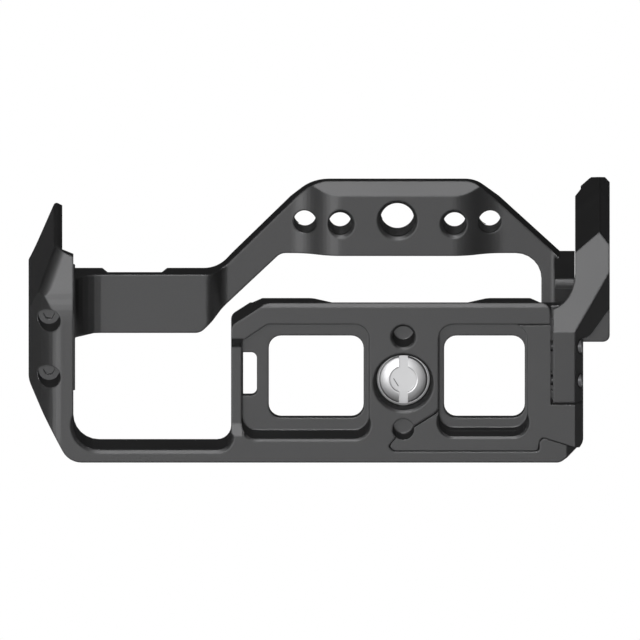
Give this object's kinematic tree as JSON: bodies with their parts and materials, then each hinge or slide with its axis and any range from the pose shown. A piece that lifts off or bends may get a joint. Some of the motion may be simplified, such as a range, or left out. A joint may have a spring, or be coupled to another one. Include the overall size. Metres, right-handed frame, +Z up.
{
  "type": "camera cage",
  "caption": "Open metal frame that bolts under a small camera, with a dovetail foot, a tall side wall, and a top bar of accessory threads.",
  "frame": {"origin": "on the camera screw's axis, in the plane of the underside", "axes": "+Z up from the underside, -Y towards the lens side, -X towards the grip side"},
  "size_m": [0.136, 0.051, 0.088],
  "materials": {
    "frame_black": "bead-blasted, black anodised",
    "plate_black": "bead-blasted, black anodised",
    "arm_black": "bead-blasted, black anodised",
    "screw_steel": "turned stainless steel",
    "spring_steel": "plain spring steel",
    "black_steel": "black oxide",
    "plain_steel": "zinc plated",
    "pad_rubber": "matt rubber"
  },
  "bodies": {
    "frame": {"base_frame": "frame_black", "insert_plate": "plate_black", "side_arm": "arm_black", "upper_frame": "frame_black", "upright_screws": "black_steel", "leg_screws": "black_steel", "insert_screws": "black_steel", "arm_screws": "plain_steel", "front_left_pad": "pad_rubber", "rear_left_pad": "pad_rubber", "front_right_pad": "pad_rubber", "rear_right_pad": "pad_rubber"},
    "clip": {"screw_clip": "spring_steel"},
    "screw": {"camera_screw": "screw_steel"}
  },
  "joints": [
    {"name": "screw_travel", "type": "slide", "parent": "frame", "child": "clip", "axis": [0, 0, -1], "range_m": [0, 0.0031]},
    {"name": "screw_turn", "type": "hinge", "parent": "clip", "child": "screw", "pos_m": [0, 0, 0], "axis": [0, 0, 1], "continuous": true}
  ]
}
